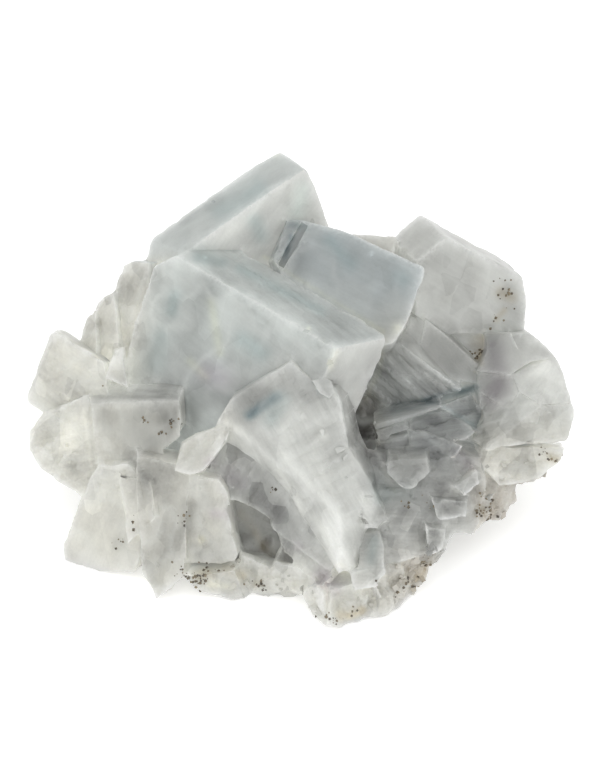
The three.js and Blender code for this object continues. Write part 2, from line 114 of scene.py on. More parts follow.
# Each face: lightness, tint, surface, way of its growth lines in degrees, and (across, up) places on it.
faceTones = {
    "peakBand": ("pale", "cool", "clear", 36, [(-18.5, 26.2), (-11.8, 31.6), (-5.4, 37)]),
    "peakFace": ("light", "grey", "clear", 60, [(-7.6, 29.1), (-1.7, 33.3), (1.3, 30.8), (-3.4, 25.7)]),
    "blockGroove": ("dark", "blue", "lined", 60, [(-1.3, 24.5), (-2.9, 23.2)]),
    "block": ("soft", "blue", "clear", -22, [
        (3, 25.9), (6.7, 23.2), (13.4, 21.8), (18.2, 19), (5, 19.5), (11.8, 16.1), (16.5, 14.8)]),
    "blockFoot": ("soft", "warm", "cloudy", 0, [(16, 10.1), (13.1, 24.9)]),
    "slabTop": ("pale", "cool", "lined", -33, [
        (-17.6, 22.9), (-10.1, 21.2), (-1.7, 17.3), (6.7, 13.1), (11.8, 9.7)]),
    "slabFront": ("pale", "cool", "cloudy", -33, [
        (-21, 17.3), (-14.8, 16.1), (-7.6, 12.8), (0, 8.1), (-22.7, 11.4), (-24, 6.1), (-16.8, 7.2),
        (-10.1, 5.5), (-14.3, 0), (-18.5, -2.9), (5, 4.4)]),
    "slabEnd": ("pale", "grey", "cloudy", 60, [(13.1, 5.5), (10.4, -0.7), (8.1, -5.4)]),
    "rightTop": ("pale", "grey", "clear", -27, [(19.3, 25.7), (24.4, 24), (31.1, 20.7)]),
    "rightBlock": ("pale", "grey", "cloudy", -27, [
        (21.8, 21.2), (25.2, 16.8), (31.9, 14.8), (35.6, 13.1), (23.5, 13.9), (26.1, 11.1), (30.3, 8.6)]),
    "ridges": ("light", "warm", "rough", 70, [
        (-30.3, 14.8), (-28.1, 8.1), (-32.8, 8.9), (-35.3, 8.9), (-26.9, 18.2)]),
    "leftBlock": ("light", "warm", "rough", -30, [(-40.3, 6.1), (-42, 0.5), (-37.8, 2.2)]),
    "leftTip": ("white", "warm", "ragged", 20, [
        (-42, -7.1), (-38.7, -10.4), (-40, -14.1), (-34.5, -11.3), (-33.6, -15.1)]),
    "shoulderTop": ("soft", "grey", "lined", 2, [(-28.6, 0.2), (-22.7, 0)]),
    "shoulder": ("soft", "warm", "cloudy", 88, [(-32.8, -4), (-26.1, -4), (-21.5, -6.2), (-28.6, -8.7)]),
    "warmCorner": ("white", "warm", "cloudy", 70, [
        (-33.6, -18.8), (-36.1, -25.5), (-30.3, -22.2), (-29.4, -28.9)]),
    "neighbour": ("pale", "warm", "rough", 85, [
        (-25.2, -13.4), (-22.7, -20.5), (-23.5, -28.9), (-19.8, -29.7)]),
    "tablet": ("light", "warm", "rough", 80, [(-14.3, -18.8), (-16, -25.5), (-12.6, -28.9)]),
    "leaf": ("light", "warm", "rough", 30, [(-16.8, -10.4), (-14.3, -8.4)]),
    # The hollow's warm colour is its own; its dark tone is painted shade, for the shade in the pit.
    "hollow": ("dark", "warm", "rough", 70, [(-8.4, -23.9), (-6.4, -27.6)]),
    "underBlade": ("mid", "grey", "clefts", 60, [(-10.1, -16.3), (-5, -22.2), (0, -26.4), (3.7, -32.3)]),
    "blade": ("light", "grey", "sheaf", -58, [
        (-6.4, -2), (-3, 0.5), (1.7, -1.2), (-8.4, -7.1), (-1.7, -7.1), (3.7, -7.1), (-5, -12.1),
        (1.7, -12.1), (6.7, -13.8), (0, -18.8), (5.9, -18.8), (9.2, -21.3), (5, -25.5), (8.7, -28.9)]),
    "rim": ("light", "warm", "crumbly", 0, [
        (-5, -32.3), (0, -33.9), (-15.1, -33.9), (3.4, -36.5), (7.6, -35.6), (10.9, -35.1),
        (15.1, -35.3)]),
    "upperBlade": ("mid", "grey", "clear", -42, [(23.5, 5.5), (26.1, 2.7)]),
    "paleBevel": ("soft", "grey", "clear", -42, [(18.5, 4.4)]),
    # The cavity's faces are painted darker, for the shade deep in the cavity; their teal, blue and rusty
    # tints are their own.
    "striped": ("dusky", "teal", "striped", -38, [(16, -0.3), (12.6, -1.7), (20.2, 0.5)]),
    "shadedCavity": ("deepest", "rusty", "rough", 0, [(9.2, -6.2), (10.9, -8.7)]),
    "steps": ("dark", "teal", "striped", 16, [
        (17.6, -4.5), (16.8, -7.1), (21.8, -5), (26.1, -6.2), (23.5, -8.2)]),
    "blueWedge": ("dark", "blue", "striped", 16, [(27.7, -3.4)]),
    "purple": ("dusky", "grey", "clear", 60, [(33.6, 5), (33.3, -0.3)]),
    "fan": ("light", "grey", "sheaf", 60, [(38.7, 4.7), (39.5, 0.5), (37, -2), (43.7, -1.7)]),
    "roundFace": ("soft", "warm", "rough", 20, [(36.1, -7.1), (42, -7.1), (31.9, -8.7)]),
    "lowerBand": ("light", "warm", "ragged", 10, [(33.6, -14.1), (40.3, -12.1), (37, -14.6)]),
    # The flank's dark tone is painted shade, for the shade it lies in below the cavity.
    "flank": ("dark", "grey", "clefts", 4, [
        (13.4, -12.1), (17.6, -14.6), (21.8, -12.9), (26.9, -13.8), (15.1, -18.8), (21, -18.8),
        (26.9, -18.8)]),
    "flankFoot": ("soft", "grey", "clefts", 4, [
        (13.1, -26.4), (17.6, -25.5), (22.7, -25.5), (27.2, -23), (13.1, -29.7)]),
    "stainedFoot": ("pale", "rusty", "crumbly", 0, [
        (31.1, -20.5), (16.8, -32.3), (34.5, -17.1), (33.3, -20.2)]),
}


spread = {
    "reach": 5.0,  # mm over which one place's look fades into the next
    "offPlane": 3.0,  # how much a step out of the face counts against a step along it
    "turn": 14.0,  # mm that a right angle between faces counts for
    "tailReach": 3.0,  # mm over which a faint far share fades
    "tailShare": 0.02,
    "restTone": 192,
    "restWeight": 0.002,
    "batch": 20000,
}

# Veils, streaks, stains and patches, with painted shade in the cavity, gaps and hollow, a painted shadow on
# the right block and painted glints: a line of (across, up), half width in mm, change of lightness, tint.
strokes = {
    "stainLeft": ([(-17, -31.5), (-15, -31)], 0.9, -0.14, "rusty"),
    "stainRim": ([(-7.5, -33)], 0.6, -0.14, "rusty"),
    "stainFlank": ([(30.5, -20), (31.5, -22)], 0.8, -0.16, "rusty"),
    "stainRound": ([(42, -11.5), (43.5, -12)], 0.8, -0.16, "rusty"),
    "stainLow": ([(19, -33), (22, -30.5)], 0.9, -0.12, "rusty"),
    "stainTip": ([(7, -38.5), (10.5, -37.5)], 0.9, -0.08, "rusty"),
    "warmCrack": ([(30, 5), (30.5, 8.5)], 0.5, -0.06, "rusty"),
    "peakCrease": ([(0, 37), (-5, 32.5), (-12, 25.5)], 0.7, 0.04, "plain"),
    "peakBand": ([(-13.5, 29.5), (-7, 33.5)], 1.5, -0.04, "blue"),
    "peakFace": ([(0.5, 33.5), (-0.5, 29.5)], 1.5, 0.05, "teal"),
    "peakFaceLow": ([(-7.5, 28), (-6.5, 25.5)], 1.3, -0.05, "blue"),
    "apex": ([(-4, 39.5)], 0.8, 0.06, "warm"),
    "blockGroove": ([(-1.5, 25.5), (-2.5, 22)], 0.4, -0.28, "slate"),
    "blockLip": ([(0, 26.5), (-2, 22)], 0.3, 0.12, "plain"),
    "blockTop": ([(-1.5, 27.5), (1, 27)], 0.7, -0.14, "blue"),
    "blockDots": ([(2, 24.5)], 0.8, 0.10, "plain"),
    "blockGlint": ([(12, 22.5)], 0.3, 0.30, "plain"),
    "blockGlintRight": ([(15, 22.5)], 0.2, 0.30, "plain"),
    "blockDark": ([(5, 24.5), (8.5, 21)], 1.3, -0.05, "blue"),
    "blockDarkRight": ([(17, 18.5)], 1.5, -0.06, "blue"),
    "blockPale": ([(13, 17)], 1.2, 0.08, "plain"),
    "blockFoot": ([(16.5, 10)], 1.0, 0.14, "warm"),
    "slabTopDark": ([(-17, 22), (-13, 21)], 1.0, -0.10, "blue"),
    "slabTopGlint": ([(-16, 22)], 0.3, 0.20, "plain"),
    "slabTopRim": ([(-6, 22), (5, 15), (14, 9.5)], 0.4, 0.04, "warm"),
    "slabTopMiddle": ([(-10, 20), (3.5, 13)], 1.0, -0.04, "blue"),
    "slabCrease": ([(-20.5, 22), (-13.5, 18), (-6, 14.5), (6, 7)], 0.8, 0.03, "plain"),
    "slabChip": ([(1.5, 10)], 0.4, 0.14, "warm"),
    "slabChipLow": ([(6, 6), (5, 3.5)], 0.7, 0.10, "warm"),
    "slabDark": ([(-21, 15.5), (-21.5, 13)], 1.2, -0.05, "blue"),
    "slabLeftDark": ([(-23.5, 8), (-24, 4.5)], 1.8, -0.11, "blue"),
    "slabBlue": ([(-9.5, 8), (-6.5, 6)], 1.5, -0.05, "blue"),
    "slabLilac": ([(-15.5, 2.5), (-13, 1.5)], 2.0, -0.07, "lilac"),
    "slabVeil": ([(-15, 14.5), (-13.5, 6)], 0.8, 0.05, "warm"),
    "slabVeilLow": ([(-18.5, 4.5), (-16, 2)], 0.8, 0.07, "warm"),
    "slabEndEdge": ([(14, 8.5), (13.5, 3.5), (11, -2)], 0.5, 0.08, "warm"),
    "leftBlockArc": ([(-40.5, -1), (-38.5, -2), (-37, -1)], 0.4, 0.06, "plain"),
    "leftBlockLine": ([(-43, 1), (-40, 2)], 0.3, -0.06, "plain"),
    "behindLeftBlock": ([(-35.5, 4.5)], 1.2, -0.09, "plain"),
    "shoulderLine": ([(-35, 0), (-20.5, 0)], 0.3, 0.08, "plain"),
    "shoulderDarkLine": ([(-34.5, -1.5), (-20.5, -1.5)], 0.3, -0.09, "plain"),
    "shoulderLowLine": ([(-36.5, -3.5), (-27.5, -3)], 0.4, 0.06, "plain"),
    "shoulderSide": ([(-18, -5.5), (-19, -2.5)], 1.0, -0.15, "plain"),
    "shoulderSideEdge": ([(-19, -1.5), (-18.5, -6.5)], 0.3, 0.14, "plain"),
    "shoulderPatch": ([(-24.5, -9)], 1.2, -0.15, "plain"),
    "shoulderEdge": ([(-36.5, -4), (-35, -14)], 0.4, 0.08, "plain"),
    # painted shade in the gap between the shoulder and its neighbour
    "shadedGap": ([(-28.5, -11.5), (-26, -15.5)], 0.8, -0.17, "plain"),
    "neighbourTop": ([(-28, -11.5), (-19.5, -12.5)], 0.4, 0.08, "plain"),
    "leaf": ([(-19.5, -10.5), (-15, -8)], 1.2, 0.05, "plain"),
    "neighbourGrey": ([(-18, -20), (-19, -24)], 1.0, -0.13, "plain"),
    "neighbourFoot": ([(-17, -28)], 0.8, -0.12, "plain"),
    "neighbourLow": ([(-26, -28)], 0.8, -0.06, "plain"),
    "tabletGrey": ([(-14.5, -21), (-11.5, -21.5)], 0.8, -0.07, "lilac"),
    "tabletChip": ([(-16.5, -25.5)], 0.7, 0.10, "warm"),
    "footStain": ([(-12.5, -30.5), (-10, -31.5)], 1.0, -0.08, "rusty"),
    "rimCream": ([(-15, -33), (-12.5, -33.5)], 0.7, 0.06, "warm"),
    "underLilac": ([(-12, -14.5), (-10, -16)], 1.3, -0.14, "lilac"),
    "underLilacTop": ([(-15, -12.5)], 1.0, -0.11, "lilac"),
    "underStreak": ([(-12, -18.5), (-7, -20.5)], 0.4, 0.16, "plain"),
    "underStreakTop": ([(-13.5, -10.5), (-8.5, -14.5)], 0.5, 0.07, "plain"),
    "underGrey": ([(-3.5, -20.5), (-1.5, -22.5)], 1.3, -0.13, "plain"),
    "underPurple": ([(-0.5, -26.5)], 0.8, -0.08, "lilac"),
    "underFoot": ([(3.5, -31.5), (6, -33.5)], 1.3, -0.07, "lilac"),
    "underPale": ([(-6.5, -28), (0, -30)], 0.7, 0.06, "plain"),
    "hollowBeige": ([(-7.5, -24), (-6.5, -27)], 0.6, 0.05, "rusty"),
    # painted shade in the hollow, with a rusty tint of its own
    "hollowShade": ([(-10, -21), (-5, -27.5)], 0.7, -0.12, "rusty"),
    "hollowEdge": ([(-9.5, -28.5), (-6.5, -29.5)], 0.7, 0.12, "plain"),
    "bladeBlue": ([(-8.5, -4.5), (-4, -1.5)], 0.8, -0.24, "slate"),
    "bladeBlueHaze": ([(-5, -5), (-3, -2)], 1.5, -0.06, "blue"),
    "bladeRidge": ([(-12.5, -5.5), (-7, -9.5), (-1, -17.5), (0, -20.5)], 0.7, 0.12, "plain"),
    "bladeSecondRidge": ([(-7, -7), (0, -14.5), (6.5, -21.5), (7, -27.5)], 0.7, 0.10, "plain"),
    "bladeGroove": ([(-8, -6), (-1.5, -13)], 0.3, -0.05, "plain"),
    "bladeFlake": ([(4, -8)], 0.8, 0.12, "plain"),
    "bladeTopFlap": ([(4, 0)], 1.0, 0.10, "plain"),
    "bladeRough": ([(6.5, -12.5), (7.5, -15.5)], 1.2, -0.03, "plain"),
    "bladeEdgeFlap": ([(11.2, -18.7), (12.3, -22.8)], 1.3, 0.18, "plain"),
    "bladeCream": ([(7, -30)], 0.8, 0.05, "warm"),
    "blueChunk": ([(12.5, -25.5), (12, -29)], 1.0, -0.10, "blue"),
    "chunkSpot": ([(13, -33)], 0.6, -0.18, "plain"),
    "chunkLine": ([(14, -28), (14, -31.5)], 0.3, 0.15, "plain"),
    "flankLine": ([(17, -30), (15, -33)], 0.4, 0.12, "plain"),
    "rimCreamRight": ([(8.5, -38.5), (10.5, -37.5)], 0.7, 0.06, "rusty"),
    "disc": ([(17, -12.5), (18.5, -14.5)], 2.3, -0.07, "plain"),
    "besideDisc": ([(13, -15), (14, -18)], 1.3, -0.15, "blue"),
    "flankChip": ([(16, -21)], 0.5, 0.16, "plain"),
    # painted shadow: a darkened triangle on the right block
    "blockTriangleShadow": ([(25.5, 8.5), (28, 6.5)], 1.0, -0.14, "plain"),
    "yellowCrack": ([(30, 8.5), (30.5, 4)], 0.4, -0.06, "rusty"),
    "upperBladeStreak": ([(19, 6.5), (22.5, 3.5), (27, 0.5)], 0.8, 0.18, "plain"),
    "upperBladeSpot": ([(25.5, 1.5)], 0.5, 0.14, "plain"),
    "stripedLight": ([(15, 5), (18.5, 1)], 0.4, 0.24, "plain"),
    "stripedLightTwo": ([(16, 6), (20, 1.5)], 0.3, 0.18, "plain"),
    "stripedDark": ([(13, 3.5), (17, -0.5)], 0.5, -0.18, "plain"),
    # painted shadow along the crevice below the upper blade, and painted shade deep in the cavity
    "cavityShadowLine": ([(15.5, -3.5), (22, -2), (29.5, 0)], 0.6, -0.4, "slate"),
    "cavityDeepShade": ([(8.8, -5.8), (11, -8.5)], 1.3, -0.36, "plain"),
    "plateEdge": ([(12.5, -6), (17.5, -5), (22, -3.5)], 0.4, 0.42, "plain"),
    "secondPlateEdge": ([(13, -9), (18.5, -8)], 0.3, 0.36, "plain"),
    "plateShade": ([(13, -10), (18, -9.5)], 0.4, -0.2, "plain"),
    "thirdPlateLine": ([(22, -6), (26, -5.5)], 0.3, -0.2, "plain"),
    "plateFacet": ([(21, -8), (23, -9.5)], 0.5, 0.22, "plain"),
    "wedgeStreak": ([(24, -3), (29, -6)], 0.3, 0.12, "blue"),
    "wedgeDark": ([(28.5, -7.5), (29.5, -6)], 0.7, -0.12, "blue"),
    "purplePatch": ([(32.5, 6), (33.5, 0.5), (32, -1.5)], 1.7, -0.18, "lilac"),
    "fanWhite": ([(37.5, 1.5), (41.5, 3.5)], 1.2, 0.10, "plain"),
    "fanCrease": ([(36, 3), (42, 5)], 0.3, 0.06, "plain"),
    "roundCrease": ([(35, -3), (40.5, -2.5)], 0.4, 0.05, "plain"),
    "bandWhite": ([(32, -14.5), (37.5, -15)], 0.6, 0.12, "plain"),
    "flankPurple": ([(27, -11), (28.5, -12.5)], 1.3, -0.15, "lilac"),
    "flankStreak": ([(28, -16.5), (29.5, -14)], 0.5, 0.16, "plain"),
    # painted shade in the cavity, beside the slab end and along the foot of the striped face
    "cavityShade": ([(11, -2), (12.3, -8)], 2.2, -0.2, "rusty"),
    "cavityShadeBand": ([(14, -4), (20, -2.4)], 0.7, -0.26, "plain"),
    "flankPlate": ([(24, -19.8), (27, -20)], 1.8, -0.12, "plain"),
    "flankPale": ([(22.5, -26.5)], 1.5, -0.07, "plain"),
    "flankLeft": ([(14.5, -18), (18, -17.5)], 1.6, -0.08, "blue"),
    "flankFan": ([(20, -24), (26, -16.5)], 0.4, 0.12, "plain"),
    "flankFanLow": ([(17, -25.5), (22, -18.5)], 0.3, 0.11, "plain"),
    "flankFanHigh": ([(15, -24), (16.5, -20)], 0.4, 0.10, "plain"),
    "stainBlock": ([(33.8, 16), (35.6, 15.2)], 0.9, -0.12, "rusty"),
    "stainBlockLow": ([(34.3, 13), (33, 11.5)], 0.5, -0.08, "rusty"),
    "bladeTop": ([(-7, -1), (3, 1)], 3.5, -0.17, "plain"),
    "slabFoot": ([(-20, -3.5), (-11, 0)], 3.5, -0.16, "plain"),
    "slabMiddle": ([(-14, 12), (0, 7)], 3.0, 0.04, "plain"),
    "slabEndFoot": ([(8, -6), (10, -2)], 1.5, 0.05, "plain"),
    "flankFootPale": ([(12.5, -26.5)], 1.8, 0.12, "plain"),
    "bladeFoot": ([(4, -24), (8, -30)], 1.6, 0.07, "plain"),
    "peakFaceLight": ([(-3, 33), (-4, 27)], 1.8, 0.06, "plain"),
    "flankStreakTwo": ([(25.5, -16), (26.5, -17.5)], 0.5, 0.10, "plain"),
}


gamma = 2.2  # from a lightness as seen to the light itself


def lightFrom(tone, tint):
    return [(tone * share / 255) ** gamma for share in tints[tint]]


def sightPoint(across, up):
    return heart + acrossWay * across * mm + upWay * up * mm


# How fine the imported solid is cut, in mm: finest where it shows.
fineness = {
    "merge": 0.02,
    "flat": 1.2,  # degrees between faces that are still one face
    "fineEdge": 0.8,
    "coarseEdge": 2.2,
    "hiddenEdge": 4.0,
    "firstEdge": 32.0,
    "stepDown": 1.5,
    "hiddenOpenness": 0.1,  # share of the ways out of a face that are clear
    "hiddenArea": 60,  # square mm
    "feelers": 12,
    "feelerLength": 15,
    "relaxRounds": 6,
}

goldenTurn = 2.4  # radians between one feeler and the next


def openness(tree, place, normal):
    side = normal.orthogonal().normalized()
    other = normal.cross(side)
    clear = 0
    for index in range(fineness["feelers"]):
        turn = index * goldenTurn
        slope = math.sqrt((index + 0.5) / fineness["feelers"])
        way = (side * math.cos(turn) + other * math.sin(turn)) * slope + normal * math.sqrt(1 - slope ** 2)
        hit = tree.ray_cast(place + normal * 0.05 * mm, way)
        clear += hit[0] is None or hit[3] > fineness["feelerLength"] * mm
    return clear / fineness["feelers"]


def refinedCluster():
    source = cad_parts["barite_cluster"].data
    bm = bmesh.new()
    bm.from_mesh(source)
    bmesh.ops.remove_doubles(bm, verts=bm.verts, dist=fineness["merge"] * mm)
    bmesh.ops.dissolve_degenerate(bm, dist=0.5 * fineness["merge"] * mm, edges=bm.edges)
    bmesh.ops.dissolve_limit(bm, angle_limit=math.radians(fineness["flat"]),
                             verts=bm.verts, edges=bm.edges)
    tree = bvhtree.BVHTree.FromBMesh(bm)
    facet = bm.faces.layers.int.new("facet")
    facing = bm.faces.layers.float_vector.new("facing")
    longest = []
    for index, face in enumerate(bm.faces):
        face[facet] = index
        face[facing] = face.normal
        shows = face.normal.dot(outWay) > -0.25
        size = fineness["fineEdge"] if shows else fineness["coarseEdge"]
        hidden = openness(tree, face.calc_center_median(), face.normal) < fineness["hiddenOpenness"]
        if hidden and face.calc_area() < fineness["hiddenArea"] * mm * mm:
            size = fineness["hiddenEdge"]
        longest.append(size * mm)
    bmesh.ops.triangulate(bm, faces=bm.faces)
    length = fineness["firstEdge"] * mm
    while length > fineness["fineEdge"] * mm * 0.9:
        tooLong = [edge for edge in bm.edges
                   if edge.calc_length() > max(length, min(longest[face[facet]] for face in edge.link_faces))]
        bmesh.ops.subdivide_edges(bm, edges=tooLong, cuts=1)
        bmesh.ops.triangulate(bm, faces=[face for face in bm.faces if len(face.verts) > 3])
        flatEdges = [edge for edge in bm.edges if len(edge.link_faces) == 2
                     and edge.link_faces[0][facet] == edge.link_faces[1][facet]]
        bmesh.ops.beautify_fill(bm, faces=bm.faces, edges=flatEdges, method="ANGLE")
        length /= fineness["stepDown"]
    bmesh.ops.dissolve_degenerate(bm, dist=0.01 * mm, edges=bm.edges)
    bmesh.ops.triangulate(bm, faces=[face for face in bm.faces if len(face.verts) > 3])
    closeUp(bm)
    facing = bm.faces.layers.float_vector["facing"]
    bm.verts.index_update()
    places = np.array([vertex.co for vertex in bm.verts])
    corners = np.array([[vertex.index for vertex in face.verts] for face in bm.faces])
    normals = np.array([face[facing] for face in bm.faces])
    bm.free()
    return relaxed(places, corners, normals), corners, normals, tree


def doubledFaces(bm):
    alike = {}
    for face in bm.faces:
        alike.setdefault(frozenset(face.verts), []).append(face)
    return [face for faces in alike.values() if len(faces) > 1 for face in faces]


# Takes out the few faces that lie on each other after the cutting, and fills the slits they leave.
def closeUp(bm):
    facing = bm.faces.layers.float_vector["facing"]
    for attempt in range(4):
        faulty = set(doubledFaces(bm))
        if attempt < 2:
            faulty |= {face for edge in bm.edges if len(edge.link_faces) > 2 for face in edge.link_faces}
        bmesh.ops.delete(bm, geom=[face for face in bm.faces if face in faulty], context="FACES")
        slits = [edge for edge in bm.edges if len(edge.link_faces) == 1]
        filled = bmesh.ops.holes_fill(bm, edges=slits, sides=0)["faces"]
        for face in bmesh.ops.triangulate(bm, faces=filled)["faces"]:
            face.normal_update()
            face[facing] = face.normal
    bmesh.ops.delete(bm, geom=doubledFaces(bm), context="FACES")


def relaxed(places, corners, normals):
    edges, left, right = edgeTable(corners)
    fixed = np.zeros(len(places), bool)
    fixed[edges[np.einsum("ek,ek->e", normals[left], normals[right]) < 0.9995].ravel()] = True
    for _ in range(fineness["relaxRounds"]):
        places = np.where(fixed[:, None], places, neighbourMean(places, edges))
    return places


def edgeTable(corners):
    pairs = np.sort(corners[:, [0, 1, 1, 2, 2, 0]].reshape(-1, 2), axis=1)
    owner = np.repeat(np.arange(len(corners)), 3)
    order = np.lexsort((pairs[:, 1], pairs[:, 0]))
    pairs, owner = pairs[order], owner[order]
    same = np.all(pairs[1:] == pairs[:-1], axis=1)
    first = np.nonzero(same)[0]
    return pairs[first], owner[first], owner[first + 1]


def neighbourMean(places, edges):
    count = np.bincount(edges.ravel(), minlength=len(places)).astype(float)
    total = np.zeros_like(places)
    for axis in range(places.shape[1]):
        total[:, axis] = np.bincount(edges[:, 0], places[edges[:, 1], axis], len(places))
        total[:, axis] += np.bincount(edges[:, 1], places[edges[:, 0], axis], len(places))
    return total / np.maximum(count, 1)[:, None]


def vertexNormals(places, corners):
    a, b, c = (places[corners[:, index]] for index in range(3))
    faceNormals = np.cross(b - a, c - a)
    total = np.zeros_like(places)
    for index in range(3):
        for axis in range(3):
            total[:, axis] += np.bincount(corners[:, index], faceNormals[:, axis], len(places))
    return total / np.maximum(np.linalg.norm(total, axis=1), 1e-20)[:, None]


def spotList(tree):
    spots = []
    for name, (tone, tint, surface, lineWay, places) in faceTones.items():
        for across, up in places:
            way = (sightPoint(across, up) - lookout).normalized()
            place, normal, _, _ = tree.ray_cast(lookout, way)
            if place is None:
                say(f"{name} has a place beside the cluster: {across}, {up}")
                continue
            spots.append({"place": place, "normal": normal, "lineWay": math.radians(lineWay),
                          "values": [*lightFrom(lightness[tone], tint), *surfaces[surface].values()]})
    return spots


def lookAt(points, normals, spots):
    spotPlaces = np.array([spot["place"] for spot in spots]) / mm
    spotNormals = np.array([spot["normal"] for spot in spots])
    values = np.array([spot["values"] for spot in spots])
    rest = np.array([*lightFrom(spread["restTone"], "warm"), *surfaces["rough"].values()])
    restWeight = spread["restWeight"] * spread["tailShare"]
    looks = np.zeros((len(points), values.shape[1]))
    best = np.zeros(len(points), int)
    for start in range(0, len(points), spread["batch"]):
        part = slice(start, start + spread["batch"])
        gap = points[part, None, :] / mm - spotPlaces[None]
        off = np.einsum("psk,sk->ps", gap, spotNormals)
        turn = 1 - normals[part] @ spotNormals.T
        square = np.einsum("psk,psk->ps", gap, gap) + (off * spread["offPlane"]) ** 2
        square += (turn * spread["turn"]) ** 2
        weight = np.exp(-square / spread["reach"] ** 2)
        weight += spread["tailShare"] * np.exp(-np.sqrt(square) / spread["tailReach"])
        total = weight.sum(axis=1, keepdims=True) + restWeight
        looks[part] = (weight @ values + rest * restWeight) / total
        best[part] = weight.argmax(axis=1)
    return looks, best


def seenAcross(points):
    gap = points - np.array(lookout)
    share = stand["distance"] * mm / (gap @ -np.array(outWay)) / mm
    return gap @ np.array(acrossWay) * share, gap @ np.array(upWay) * share


def lineGap(across, up, line):
    ends = line if len(line) > 1 else line * 2
    nearest = np.full(len(across), 1e6)
    for (fromAcross, fromUp), (toAcross, toUp) in zip(ends, ends[1:]):
        wayAcross, wayUp = toAcross - fromAcross, toUp - fromUp
        length = max(wayAcross ** 2 + wayUp ** 2, 1e-9)
        share = np.clip(((across - fromAcross) * wayAcross + (up - fromUp) * wayUp) / length, 0, 1)
        gap = np.hypot(across - fromAcross - share * wayAcross, up - fromUp - share * wayUp)
        nearest = np.minimum(nearest, gap)
    return nearest


strokeDepth = 8  # mm in front of a stroke or behind it from which it starts to fade


def withStrokes(tones, points, normals, tree):
    across, up = seenAcross(points)
    toward = np.clip(normals @ np.array(outWay) * 4 + 1, 0, 1)
    for name, (line, width, change, tint) in strokes.items():
        middle = line[len(line) // 2]
        place = tree.ray_cast(lookout, (sightPoint(*middle) - lookout).normalized())[0]
        if place is None:
            say(f"{name} lies beside the cluster")
            continue
        depth = np.abs((points - np.array(place)) @ np.array(outWay)) / mm
        share = np.exp(-(lineGap(across, up, line) / width) ** 2) * toward
        share *= np.clip(2 - depth / strokeDepth, 0, 1)
        tones *= (1 + change * share[:, None]) ** gamma
        tones *= np.array(tints[tint]) ** (share[:, None] * gamma)
    return tones


# Hackly breaks, growth steps and chipped edges. Cells, depths and reaches are in mm.
relief = {
    "breakCell": 4.2,  # mm across one broken facet
    "breakDepth": 1.3,
    "crumbCell": 1.9,
    "crumbDepth": 0.7,
    "swellCell": 8.0,
    "swellDepth": 0.12,
    "stepWidth": 1.1,
    "stepDepth": 0.14,
    "chipCell": 1.7,
    "chipReach": 1.1,
    "chipDepth": 0.9,
    "footHeight": 9,  # up to here from the floor a broken foot is ragged
    "footCell": 2.6,
    "footDepth": 1.6,
    "blunting": 0.4,
    "bluntReach": 1.1,
    "bluntRounds": 4,
    "bluntTurn": 20,  # degrees between faces from which a ridge is blunted
    "wearAndPaintedLightTurn": 48,  # degrees from which an edge is drawn pale: worn, and painted light along it
    "sharpTurn": 9,  # degrees from which an edge is drawn sharp
    "farthestEdge": 6,
}

# Corners worn round: (across, up), reach in mm and rounds of blunting.
wornCorners = [((-4, 39.5), 5.0, 12), ((0, 37.5), 4.0, 8), ((14.2, 8), 2.5, 5), ((38, 18.5), 2.5, 4)]


def hackly(place):
    _, cells = noise.voronoi(place)
    heights = []
    for cell in cells:
        slope = noise.noise_vector(cell * 5.7 + Vector((3, 1, 7)))
        heights.append(1.4 * slope.dot(place - cell) + 0.5 * noise.noise(cell * 9.1))
    return max(heights[:3])


def reliefOf(places, broken, lined, linePlace):
    lift = np.zeros(len(places))
    for index, place in enumerate(places):
        point = Vector(place) / mm
        height = relief["swellDepth"] * noise.noise(point / relief["swellCell"])
        if broken[index] > 0.05:
            height += broken[index] * relief["breakDepth"] * (hackly(point / relief["breakCell"]) - 0.45)
            height += broken[index] * relief["crumbDepth"] * (hackly(point / relief["crumbCell"]) - 0.35)
        if lined[index] > 0.3:
            row = linePlace[index] / relief["stepWidth"]
            step = noise.cell(Vector((math.floor(row), 0.5, 0.5)))
            height -= lined[index] * relief["stepDepth"] * step
        lift[index] = height * mm
    return lift


paintedGlowReach = 12  # mm
paintedGlowShares = (0.05, 0.2, 0.35, 0.5, 0.6, 0.7, 0.8, 0.9)
paintedGlowWays = [(math.sqrt(share) * math.cos(index * goldenTurn), math.sqrt(share) * math.sin(index * goldenTurn),
             math.sqrt(1 - share)) for index, share in enumerate(paintedGlowShares)]


# How far each place is shut in. Painted light: shut-in places glow by emission, standing in for light coming
# through the crystals around it.
def paintedGlowOf(places, normals, corners, edges):
    tree = bvhtree.BVHTree.FromPolygons(places.tolist(), corners.tolist())
    shut = np.zeros(len(places))
    for index, (place, normal) in enumerate(zip(places, normals)):
        normal = Vector(normal)
        side = normal.orthogonal().normalized()
        other = normal.cross(side)
        start = Vector(place) + normal * 0.15 * mm
        for acrossShare, alongShare, outShare in paintedGlowWays:
            way = side * acrossShare + other * alongShare + normal * outShare
            shut[index] += tree.ray_cast(start, way, paintedGlowReach * mm)[0] is not None
    shut /= len(paintedGlowWays)
    for _ in range(3):
        shut = 0.5 * shut + 0.5 * neighbourMean(shut[:, None], edges)[:, 0]
    return shut


def noiseAt(places, cell):
    return np.array([noise.noise(Vector(place) / mm / cell) for place in places])


# How far each place is from the nearest of these edges, in mm.
def edgeGaps(places, edges):
    creases = kdtree.KDTree(len(edges) * 3)
    for index, (a, b) in enumerate(edges):
        for step, share in enumerate((0, 0.5, 1)):
            creases.insert(Vector(places[a] * (1 - share) + places[b] * share), index * 3 + step)
    creases.balance()
    return np.array([min(creases.find(Vector(place))[2] / mm, relief["farthestEdge"]) for place in places])


